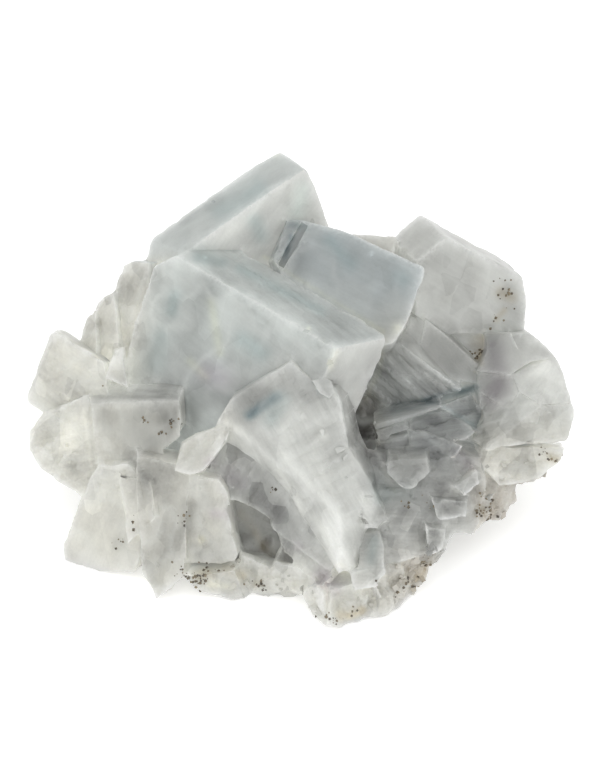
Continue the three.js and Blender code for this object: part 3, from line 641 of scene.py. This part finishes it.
# The look of each corner of each triangle, and how far across the growth lines it lies, in mm.
def cornerLooks(places, corners, facing, tree):
    points = places[corners].reshape(-1, 3)
    normals = np.repeat(facing, 3, axis=0)
    spots = spotList(tree)
    looks, best = lookAt(points, normals, spots)
    looks[:, :3] = withStrokes(looks[:, :3], points, normals, tree)
    lineAngle = np.array([spot["lineWay"] for spot in spots])[best]
    offset = (points - np.array(heart)) / mm
    across, up = offset @ np.array(acrossWay), offset @ np.array(upWay)
    return looks, up * np.cos(lineAngle) - across * np.sin(lineAngle)


def blunted(places, edges, blunt):
    for _ in range(relief["bluntRounds"]):
        places = places + blunt * (neighbourMean(places, edges) - places) * 0.6
    for (across, up), reach, rounds in wornCorners:
        toward = np.array((sightPoint(across, up) - lookout).normalized())
        gap = np.linalg.norm(np.cross(places - np.array(lookout), toward), axis=1) / mm
        share = np.exp(-(gap / reach) ** 2 * 2)[:, None]
        for _ in range(rounds):
            places = places + share * (neighbourMean(places, edges) - places)
    return places


# How thickly loose bits lie at each place.
def clinging(places, shaped, broken, flaky, thick, tree):
    low = np.clip(1 - places[:, 2] / (cling["lowHeight"] * mm), 0, 1)
    specks = np.clip(0.9 + 3 * noiseAt(places, cling["speckCell"]), 0, 2.5)
    grit = thickAt(gritPlaces, places, tree) * specks + cling["strayGrit"] * low * (places[:, 1] > 0)
    clear = np.clip(shaped[:, 2] / (cling["floorGap"] * mm) - 0.5, 0, 1)
    crumble = np.clip(broken * 2 - 1, 0, 1)
    return {"grit": grit * clear, "crumble": crumble * clear, "flake": np.maximum(thick, flaky * low) * clear}


def setAttributes(mesh, domain, named):
    for name, values in named.items():
        mesh.attributes.new(name, "FLOAT", domain).data.foreach_set("value", values)


def markSharp(mesh, count, edges):
    ends = np.zeros(len(mesh.edges) * 2, int)
    mesh.edges.foreach_get("vertices", ends)
    ends = np.sort(ends.reshape(-1, 2), axis=1) @ (count, 1)
    sharp = np.isin(ends, edges @ (count, 1))
    mesh.attributes.new("sharp_edge", "BOOLEAN", "EDGE").data.foreach_set("value", sharp)


def makeCluster():
    places, corners, facing, tree = refinedCluster()
    say(f"{len(corners)} triangles in the cluster")
    edges, left, right = edgeTable(corners)
    middles = places[corners].mean(axis=1)
    bend = np.einsum("ek,ek->e", facing[left], facing[right])
    outward = np.einsum("ek,ek->e", middles[right] - middles[left], facing[left]) < 0
    ridges = edges[(bend < math.cos(math.radians(relief["bluntTurn"]))) & outward]
    # edges drawn pale, partly for wear and partly as painted light along them
    wearAndPaintedLightEdges = edges[(bend < math.cos(math.radians(relief["wearAndPaintedLightTurn"]))) & outward]
    sharpEdges = edges[bend < math.cos(math.radians(relief["sharpTurn"]))]
    edgeGap = edgeGaps(places, wearAndPaintedLightEdges)

    looks, linePlace = cornerLooks(places, corners, facing, tree)
    kinds = dict(zip(surfaces["clear"], looks[:, 3:].T))
    count = np.maximum(np.bincount(corners.ravel(), minlength=len(places)), 1)
    broken, lined, lineRow, flaky = (
        np.bincount(corners.ravel(), values, len(places)) / count
        for values in (kinds["broken"], kinds["lined"], linePlace, kinds.pop("flaky")))
    say("looks of the faces set")

    normals = vertexNormals(places, corners)
    thick = thickAt(flakePlaces, places, tree)
    lift = reliefOf(places, broken, lined, lineRow)
    chip = np.maximum(noiseAt(places, relief["chipCell"]) - 0.05, 0)
    chip *= 0.5 + 3 * broken + np.minimum(thick, 2)
    lift -= chip * relief["chipDepth"] * mm * np.exp(-(edgeGap / relief["chipReach"]) ** 2)
    foot = np.clip(1 - places[:, 2] / (relief["footHeight"] * mm), 0, 1) * broken
    lift += foot * mm * (relief["footDepth"] * noiseAt(places, relief["footCell"]))
    onRidge = np.zeros(len(places), bool)
    onRidge[ridges.ravel()] = True
    blunt = broken * np.exp(-(edgeGap / relief["bluntReach"]) ** 2)
    blunt = np.maximum(np.where(onRidge, relief["blunting"], 0), blunt)[:, None]
    shaped = blunted(places + normals * lift[:, None], edges, blunt)
    shaped[:, 2] = np.maximum(shaped[:, 2], 0)
    shaped = np.clip(shaped, np.array(cadBox[0]), np.array(cadBox[1]))
    # painted light: the crystal glows by emission where it is shut in, in place of light coming through the
    # crystals
    paintedGlow = paintedGlowOf(shaped, normals, corners, edges)
    say("light through the crystals found")

    mesh = bpy.data.meshes.new("bariteCrystals")
    mesh.from_pydata(shaped.tolist(), [], corners.tolist())
    tone = mesh.attributes.new("tone", "FLOAT_COLOR", "CORNER")
    tone.data.foreach_set("color", np.column_stack([looks[:, :3], np.ones(len(looks))]).ravel())
    setAttributes(mesh, "CORNER", {**kinds, "linePlace": linePlace})
    loose = clinging(places, shaped, broken, flaky, thick, tree)
    setAttributes(mesh, "POINT", {"edgeGap": edgeGap, **loose, "paintedGlow": paintedGlow})
    mesh.update()
    markSharp(mesh, len(places), sharpEdges)
    piece = bpy.data.objects.new("barite_crystals", mesh)
    bpy.context.collection.objects.link(piece)
    return piece


# Where loose bits lie beside the places listed below, in mm.
cling = {
    "lowHeight": 8,  # up to here from the floor flakes and stray grains lie anywhere
    "speckCell": 1.3,
    "strayGrit": 0.02,
    "floorGap": 1.5,  # loose bits keep clear of the floor
}

# Where white flakes stand off the crystals: (across, up), reach in mm, how thick they lie.
flakePlaces = [
    ((4.2, 0.2), 1.4, 1.0), ((4.2, -8), 0.9, 3.5), ((6.5, -11.5), 1.8, 0.9), ((7.5, -15), 1.6, 0.8),
    ((9, -18), 1.4, 0.8), ((11, -21), 1.8, 1.2), ((11.4, -23), 1.4, 1.0), ((10, -26.5), 1.3, 0.8),
    ((16.1, -20.8), 1.0, 2.0), ((-16.2, -25.7), 1.2, 1.5), ((22.4, -27.5), 1.5, 1.5),
    ((1.7, 9.8), 1.0, 1.5), ((5.5, 5), 2.0, 1.0), ((36, -14.6), 2.0, 1.0),
]

# Where dark grains sit: (across, up), reach in mm, how thick they lie.
gritPlaces = [
    ((34.8, 15.8), 2.0, 0.6), ((34.2, 12), 1.6, 0.5), ((32.8, 11.3), 1.2, 0.5), ((29.8, 5.2), 1.6, 0.5),
    ((-21.7, -5.9), 0.9, 0.9), ((-20.8, -4.4), 0.7, 0.8), ((-23.5, -7.2), 0.8, 0.6),
    ((-26.1, -5.2), 0.8, 0.6), ((-28.1, -22.4), 0.6, 0.8), ((-29.9, -26.4), 1.0, 0.6),
    ((-32.6, 1.2), 0.6, 0.6), ((-29.2, 1.3), 0.6, 0.6), ((-17.5, -32.3), 1.6, 1.2),
    ((-20, -31.6), 1.0, 0.8), ((-15.6, -30.8), 0.9, 0.8), ((-19.5, -22), 0.7, 0.8),
    ((-7.2, -33.1), 1.2, 0.8), ((5.7, -39.5), 1.6, 0.9), ((9.1, -38), 1.4, 0.7), ((18.5, -33.4), 1.6, 0.9),
    ((22.5, -29), 1.6, 0.6), ((31, -19.8), 1.6, 1.2), ((32.5, -22.2), 1.2, 1.0), ((41.3, -11.4), 0.9, 1.2),
    ((43.2, -12.1), 0.8, 1.0), ((18, -19.8), 0.8, 0.7), ((21, -19.3), 0.8, 0.7), ((13.3, -32.6), 0.7, 0.9),
    ((-4.7, -17.1), 0.5, 0.7), ((-31.2, -26.8), 0.6, 0.5),
]


def thickAt(listed, places, tree):
    thick = np.zeros(len(places))
    for (across, up), reach, share in listed:
        place = tree.ray_cast(lookout, (sightPoint(across, up) - lookout).normalized())[0]
        if place is None:
            say(f"nothing to cling to at {across}, {up}")
            continue
        gap = np.linalg.norm(places - np.array(place), axis=1) / mm
        thick = np.maximum(thick, share * np.exp(-(gap / reach) ** 2))
    return thick


# Loose bits: how many lie on a square mm, their least and greatest length in mm, and their seed.
crumbs = {"density": 0.10, "smallest": 0.5, "largest": 1.7, "upright": 0.0, "seed": 4}
flakes = {"density": 0.14, "smallest": 0.8, "largest": 2.4, "upright": 1.0, "seed": 9}
grains = {"density": 3.4, "smallest": 0.12, "largest": 0.68, "upright": 0.0, "seed": 2}

# Corners of loose bits, as shares of their length: stout rhombic crumbs, thin flakes, round grains.
bitShapes = {
    "crumb": [
        [(-0.5, -0.3, -0.18), (0.3, -0.42, -0.2), (0.5, 0.1, -0.16), (0.1, 0.4, -0.2), (-0.42, 0.2, -0.15),
         (-0.44, -0.24, 0.16), (0.26, -0.36, 0.2), (0.4, 0.1, 0.14), (0.08, 0.34, 0.2), (-0.36, 0.14, 0.2)],
        [(-0.4, -0.35, -0.25), (0.4, -0.3, -0.2), (0.45, 0.3, -0.24), (-0.35, 0.35, -0.2),
         (-0.3, -0.3, 0.25), (0.3, -0.2, 0.28), (0.36, 0.26, 0.1), (-0.3, 0.28, 0.22)],
        [(-0.5, -0.2, -0.1), (0.2, -0.4, -0.12), (0.5, 0.0, -0.08), (-0.1, 0.4, -0.12),
         (-0.4, -0.14, 0.14), (0.16, -0.3, 0.1), (0.36, 0.02, 0.12), (-0.08, 0.3, 0.1)],
    ],
    "flake": [
        [(-0.5, -0.3, -0.04), (0.3, -0.42, -0.04), (0.5, 0.1, -0.03), (0.1, 0.4, -0.05),
         (-0.42, 0.2, -0.04), (-0.44, -0.24, 0.05), (0.26, -0.36, 0.04), (0.4, 0.1, 0.06),
         (0.08, 0.34, 0.04), (-0.36, 0.14, 0.05)],
        [(-0.4, -0.35, -0.04), (0.4, -0.2, -0.05), (0.35, 0.3, -0.04), (-0.45, 0.15, -0.04),
         (-0.3, -0.3, 0.04), (0.3, -0.1, 0.06), (0.3, 0.26, 0.03), (-0.36, 0.1, 0.05)],
    ],
    "grain": [
        [(-0.4, -0.2, -0.3), (0.3, -0.4, -0.2), (0.45, 0.2, -0.3), (-0.2, 0.4, -0.25), (0, 0, -0.45),
         (-0.4, -0.1, 0.25), (0.2, -0.35, 0.3), (0.35, 0.25, 0.3), (-0.15, 0.35, 0.35), (0, 0, 0.45)],
    ],
}


def bitCollection(kind):
    group = bpy.data.collections.new(kind)
    for index, corners in enumerate(bitShapes[kind]):
        bm = bmesh.new()
        for corner in corners:
            bm.verts.new(corner)
        bmesh.ops.convex_hull(bm, input=bm.verts)
        bmesh.ops.recalc_face_normals(bm, faces=bm.faces)
        mesh = bpy.data.meshes.new(f"{kind}{index}")
        bm.to_mesh(mesh)
        bm.free()
        group.objects.link(bpy.data.objects.new(f"{kind}{index}", mesh))
    return group


def scatterTree():
    tree = bpy.data.node_groups.new("scatterBits", "GeometryNodeTree")
    kinds = {"Surface": "Geometry", "Where": "String", "Density": "Float", "Smallest": "Float",
             "Largest": "Float", "Upright": "Float", "Seed": "Int", "Shapes": "Collection",
             "Material": "Material"}
    for name, kind in kinds.items():
        tree.interface.new_socket(name, in_out="INPUT", socket_type="NodeSocket" + kind)
    tree.interface.new_socket("Bits", in_out="OUTPUT", socket_type="NodeSocketGeometry")
    maker = Maker(tree)
    given = {name: maker.node("NodeGroupInput", output=name) for name in kinds}
    where = maker.node("GeometryNodeInputNamedAttribute", {"data_type": "FLOAT"}, {"Name": given["Where"]})
    sown = maker.made("GeometryNodeDistributePointsOnFaces", {"distribute_method": "RANDOM"},
                      {"Mesh": given["Surface"], "Density": where * given["Density"] * 1e6,
                       "Seed": given["Seed"]})
    points = Wire(maker, sown.outputs["Points"])
    flat = Wire(maker, sown.outputs["Rotation"])
    free = maker.node("FunctionNodeRandomValue", {"data_type": "FLOAT_VECTOR"},
                      {"Min": (0, 0, 0), "Max": (math.tau, math.tau, math.tau), "Seed": given["Seed"]})
    lean = maker.node("FunctionNodeRandomValue", {"data_type": "FLOAT_VECTOR"},
                      {"Min": (-0.45, -0.45, 0), "Max": (0.45, 0.45, math.tau), "Seed": given["Seed"]})
    size = maker.node("FunctionNodeRandomValue", {"data_type": "FLOAT"},
                      {2: given["Smallest"] * 0.001, 3: given["Largest"] * 0.001, "Seed": given["Seed"]},
                      output=1)
    leant = maker.node("FunctionNodeRotateRotation", {"rotation_space": "LOCAL"},
                       {"Rotation": flat, "Rotate By": maker.turned(lean)})
    turn = maker.node("GeometryNodeSwitch", {"input_type": "ROTATION"},
                      {"Switch": given["Upright"], "False": maker.turned(free), "True": leant})
    shapes = maker.node("GeometryNodeCollectionInfo", {},
                        {"Collection": given["Shapes"], "Separate Children": True, "Reset Children": True})
    bits = maker.node("GeometryNodeInstanceOnPoints", {},
                      {"Points": points, "Instance": shapes, "Pick Instance": True, "Rotation": turn,
                       "Scale": size})
    bits = maker.node("GeometryNodeRealizeInstances", {}, {"Geometry": bits})
    bits = maker.node("GeometryNodeSetMaterial", {}, {"Geometry": bits, "Material": given["Material"]})
    end = tree.nodes.new("NodeGroupOutput")
    tree.links.new(bits.socket, end.inputs["Bits"])
    return tree


def scatter(name, tree, surface, where, kind, sizes, material):
    host = bpy.data.objects.new(name + "_host", surface.data)
    bpy.context.collection.objects.link(host)
    modifier = host.modifiers.new("scatter", "NODES")
    modifier.node_group = tree
    values = {"Where": where, "Density": sizes["density"], "Smallest": sizes["smallest"],
              "Largest": sizes["largest"], "Upright": sizes["upright"], "Seed": sizes["seed"],
              "Shapes": bitCollection(kind), "Material": material}
    for socket in tree.interface.items_tree:
        if socket.name in values:
            modifier[socket.identifier] = values[socket.name]
    evaluated = host.evaluated_get(bpy.context.evaluated_depsgraph_get())
    mesh = bpy.data.meshes.new_from_object(evaluated)
    bpy.data.objects.remove(host)
    piece = bpy.data.objects.new(name, mesh)
    bpy.context.collection.objects.link(piece)
    say(f"{len(mesh.polygons)} faces in {name}")
    return piece


# A socket that takes part in sums, so that shader maths reads as plain expressions.
class Wire:
    def __init__(self, finish, socket):
        self.finish = finish
        self.socket = socket

    def maths(self, operation, first, second=0.0):
        return self.finish.node("ShaderNodeMath", {"operation": operation}, {0: first, 1: second})

    def __add__(self, other):
        return self.maths("ADD", self, other)

    def __radd__(self, other):
        return self.maths("ADD", other, self)

    def __sub__(self, other):
        return self.maths("SUBTRACT", self, other)

    def __rsub__(self, other):
        return self.maths("SUBTRACT", other, self)

    def __mul__(self, other):
        return self.maths("MULTIPLY", self, other)

    def __rmul__(self, other):
        return self.maths("MULTIPLY", other, self)

    def __rpow__(self, other):
        return self.maths("POWER", other, self)

    def __abs__(self):
        return self.maths("ABSOLUTE", self)


class Maker:
    def __init__(self, tree):
        self.tree = tree

    def node(self, kind, settings=None, values=None, output=0):
        return Wire(self, self.made(kind, settings, values).outputs[output])

    def turned(self, angles):
        return self.node("FunctionNodeEulerToRotation", {}, {0: angles})

    def made(self, kind, settings=None, values=None):
        made = self.tree.nodes.new(kind)
        for name, value in (settings or {}).items():
            setattr(made, name, value)
        for name, value in (values or {}).items():
            socket = made.inputs[name]
            if isinstance(value, Wire):
                self.tree.links.new(value.socket, socket)
            else:
                socket.default_value = value
        return made


class Finish(Maker):
    def __init__(self, name):
        self.material = bpy.data.materials.new(name)
        self.material.use_nodes = True
        super().__init__(self.material.node_tree)
        self.tree.nodes.clear()

    def close(self, surface, volume=None):
        end = self.tree.nodes.new("ShaderNodeOutputMaterial")
        self.tree.links.new(surface.socket, end.inputs["Surface"])
        if volume:
            self.tree.links.new(volume.socket, end.inputs["Volume"])

    def attribute(self, name, output="Fac"):
        return self.node("ShaderNodeAttribute", {"attribute_name": name}, output=output)

    # The object's own places, in millimetres.
    def place(self):
        inMetres = self.node("ShaderNodeTexCoord", output="Object")
        return self.node("ShaderNodeMapping", {}, {"Vector": inMetres, "Scale": (1000, 1000, 1000)})

    def surface(self, values):
        return self.node("ShaderNodeBsdfPrincipled", {}, values)

    def noise(self, place, size, detail=2.0, rough=0.5):
        return self.node("ShaderNodeTexNoise", {}, {"Vector": place, "Scale": 1 / size, "Detail": detail,
                                                    "Roughness": rough})

    def range(self, value, low, high, toLow=0.0, toHigh=1.0):
        settings = {"interpolation_type": "SMOOTHSTEP"}
        return self.node("ShaderNodeMapRange", settings,
                         {0: value, 1: low, 2: high, 3: toLow, 4: toHigh})

    def facets(self, place, size, jitter):
        cells = self.made("ShaderNodeTexVoronoi", {"feature": "F1", "distance": "CHEBYCHEV"},
                          {"Vector": place, "Scale": 1 / size, "Randomness": jitter})
        shade = self.node("ShaderNodeSeparateColor", {}, {0: Wire(self, cells.outputs["Color"])})
        return shade, Wire(self, cells.outputs["Distance"]) * size

    def mix(self, share, first, second):
        return self.node("ShaderNodeMix", {"data_type": "RGBA"}, {0: share, 6: first, 7: second}, output=2)

    def add(self, first, second):
        return self.node("ShaderNodeVectorMath", {"operation": "ADD"}, {0: first, 1: second})

    def scale(self, colour, share):
        return self.node("ShaderNodeVectorMath", {"operation": "SCALE"}, {0: colour, "Scale": share})


bariteLook = {
    "ior": 1.64,
    "transmission": 0.2,
    "scatterReach": 0.008,
    "paintedInnerLight": 0.35,
    "absorbTint": (0.80, 0.88, 0.90, 1),
    "absorbDensity": 3.0,
    "cloudSize": 9,
    "wispSize": 8,
    "grainSize": 0.5,
    "chipSize": 1.8,
    "paneSize": 4.5,
    "paneTurn": (0.5, 0.4, 0.6),
    "wispColour": (0.80, 0.82, 0.79, 1),
    "wearAndPaintedLightColour": (0.88, 0.89, 0.86, 1),
    "wearAndPaintedLightFade": 1.7,
    "brightness": 0.958,
}


def bariteFinish():
    finish = Finish("milkyBarite")
    place = finish.place()
    tone = finish.attribute("tone", "Color")
    broken = finish.attribute("broken")
    lined = finish.attribute("lined")
    milky = finish.attribute("milky")
    paned = finish.attribute("paned")
    paintedGlow = finish.attribute("paintedGlow")
    linePlace = finish.attribute("linePlace")
    edgeGap = finish.attribute("edgeGap")

    cloudField = finish.made("ShaderNodeTexNoise", {}, {
        "Vector": place, "Scale": 1 / bariteLook["cloudSize"], "Detail": 2.0, "Roughness": 0.55})
    clouds = Wire(finish, cloudField.outputs["Fac"])
    drift = Wire(finish, cloudField.outputs["Color"])
    wispNoise = finish.noise(finish.add(place, finish.scale(drift, 8.0)), bariteLook["wispSize"], 1, 0.5)
    wisps = finish.range(abs(wispNoise - 0.5), 0.13, 0.0)
    grain = finish.noise(place, bariteLook["grainSize"], 1, 0.6)
    chips, chipRise = finish.facets(place, bariteLook["chipSize"], 1.0)
    bent = finish.node("ShaderNodeMapping", {}, {"Vector": finish.add(place, finish.scale(drift, 3.0)),
                                                 "Rotation": bariteLook["paneTurn"],
                                                 "Scale": (1, 0.6, 0.6)})
    panes, _ = finish.facets(bent, bariteLook["paneSize"], 1.0)
    along = finish.node("ShaderNodeCombineXYZ", {}, {0: linePlace * 1.2})
    lines = finish.noise(finish.add(finish.scale(place, 0.16), along), 1.0, 3, 0.65)
    edgeShare = math.e ** (edgeGap * -bariteLook["wearAndPaintedLightFade"])

    light = 1 + (clouds - 0.5) * (milky * 0.9 + 0.3) + (grain - 0.5) * (0.13 + broken * 0.16)
    light = light + (chips - 0.5) * broken * 0.13 + (panes - 0.5) * paned * 0.7
    light = light + (lines - 0.5) * (lined * finish.range(wispNoise, 0.35, 0.6, 0.3, 1.0) * 0.7 + 0.22)
    colour = finish.scale(tone, light * bariteLook["brightness"])
    colour = finish.mix(wisps * (milky * 0.2 + 0.04), colour, bariteLook["wispColour"])
    # Pale along the sharper edges: partly wear, partly painted light standing in for light scattered at the
    # edges.
    wearAndPaintedLightShare = edgeShare * finish.range(wispNoise, 0.4, 0.6, 0.08, 0.27)
    wearAndPaintedLightShare = wearAndPaintedLightShare * finish.range(grain, 0.3, 0.6, 0.4, 1.0)
    colour = finish.mix(wearAndPaintedLightShare, colour, bariteLook["wearAndPaintedLightColour"])
    rough = 0.28 + broken * 0.2 + milky * 0.08 + (wispNoise - 0.5) * 0.15
    height = (grain - 0.5) * (0.03 + broken * 0.1) + (lines - 0.5) * lined * 0.06
    height = height + chipRise * broken * 0.22
    bump = finish.node("ShaderNodeBump", {}, {"Height": height, "Distance": 0.001, "Strength": 1.0})
    shader = finish.surface({
        "Base Color": colour, "Roughness": rough, "Normal": bump, "IOR": bariteLook["ior"],
        # painted light: emission that makes shut-in places glow, standing in for light through the crystals
        "Emission Color": finish.scale(colour, paintedGlow), "Emission Strength": bariteLook["paintedInnerLight"],
        "Transmission Weight": bariteLook["transmission"], "Subsurface Weight": 1.0,
        "Subsurface Scale": bariteLook["scatterReach"], "Subsurface Radius": (1.0, 1.0, 1.0)})
    inside = finish.node("ShaderNodeVolumeAbsorption", {},
                         {"Color": bariteLook["absorbTint"], "Density": bariteLook["absorbDensity"]})
    finish.close(shader, inside)
    return finish.material


def chalkFinish():
    finish = Finish("chalkyBits")
    tone = finish.attribute("tone", "Color")
    shader = finish.surface({
        "Base Color": finish.scale(tone, bariteLook["brightness"] * 0.9), "Roughness": 0.5,
        "Specular IOR Level": 0.4})
    finish.close(shader)
    return finish.material


grainLook = {
    "dark": (0.08, 0.07, 0.055, 1),
    "brown": (0.26, 0.22, 0.15, 1),
    "patchSize": 1.1,
    "pitSize": 0.15,
}


def grainFinish():
    finish = Finish("rustyGrains")
    place = finish.place()
    patches = finish.range(finish.noise(place, grainLook["patchSize"], 2, 0.5), 0.35, 0.65)
    colour = finish.mix(patches, grainLook["dark"], grainLook["brown"])
    pits = finish.noise(place, grainLook["pitSize"], 2, 0.5)
    bump = finish.node("ShaderNodeBump", {}, {"Height": pits, "Distance": 0.0001})
    shader = finish.surface({
        "Base Color": colour, "Roughness": 0.6, "Normal": bump})
    finish.close(shader)
    return finish.material


def floorFinish():
    finish = Finish("paleFloor")
    shader = finish.surface({
        "Base Color": (0.92, 0.92, 0.92, 1), "Roughness": 0.9, "Specular IOR Level": 0.1,
        "Emission Color": (1, 1, 1, 1), "Emission Strength": studio["floorGlow"]})
    finish.close(shader)
    return finish.material


# Floor, light and camera, in metres and watts.
studio = {
    "floorSize": 6.0,
    "floorGlow": 0.34,
    "worldLight": 1.0,
    "keyPower": 1.3,
    "keySize": 0.7,
    "keyPlace": (-0.35, -0.7, 1.0),
    "fillPower": 0.8,
    "fillPlace": (0.8, -0.6, 0.5),
}


def makeFloor():
    half = studio["floorSize"] / 2
    mesh = bpy.data.meshes.new("floor")
    mesh.from_pydata([(-half, -half, 0), (half, -half, 0), (half, half, 0), (-half, half, 0)], [],
                     [(0, 1, 2, 3)])
    mesh.materials.append(floorFinish())
    floor = bpy.data.objects.new("floor", mesh)
    bpy.context.collection.objects.link(floor)


def addLight(name, place, power, size):
    lamp = bpy.data.lights.new(name, "AREA")
    lamp.shape = "DISK"
    lamp.size = size
    lamp.energy = power
    lampObject = bpy.data.objects.new(name, lamp)
    lampObject.location = place
    lampObject.rotation_euler = (heart - Vector(place)).to_track_quat("-Z", "Y").to_euler()
    bpy.context.collection.objects.link(lampObject)


def makeStudio():
    world = bpy.data.worlds.new("softWhite")
    world.use_nodes = True
    world.node_tree.nodes["Background"].inputs["Color"].default_value = (1, 1, 1, 1)
    world.node_tree.nodes["Background"].inputs["Strength"].default_value = studio["worldLight"]
    bpy.context.scene.world = world
    addLight("keyLight", studio["keyPlace"], studio["keyPower"], studio["keySize"])
    addLight("fillLight", studio["fillPlace"], studio["fillPower"], studio["keySize"])
    lens = bpy.data.cameras.new("camera")
    lens.sensor_width = stand["sensor"]
    lens.lens = stand["sensor"] * stand["distance"] / stand["frameHeight"]
    lens.clip_start = 0.01
    lens.clip_end = 20
    camera = bpy.data.objects.new("camera", lens)
    camera.location = lookout
    camera.rotation_euler = (-outWay).to_track_quat("-Z", "Y").to_euler()
    bpy.context.collection.objects.link(camera)
    bpy.context.scene.camera = camera
    bpy.context.scene.view_settings.view_transform = "Standard"


cluster = makeCluster()
cluster.data.materials.append(bariteFinish())
bitTree = scatterTree()
chalk = chalkFinish()
crumbPiece = scatter("broken_crumbs", bitTree, cluster, "crumble", "crumb", crumbs, chalk)
flakePiece = scatter("loose_flakes", bitTree, cluster, "flake", "flake", flakes, chalk)
grainPiece = scatter("dark_grains", bitTree, cluster, "grit", "grain", grains, grainFinish())
for piece in (crumbPiece, flakePiece, grainPiece):
    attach(piece, "root")
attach(cluster, "root")
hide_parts("barite_cluster")
say("cluster made")
makeFloor()
makeStudio()
say("studio made")
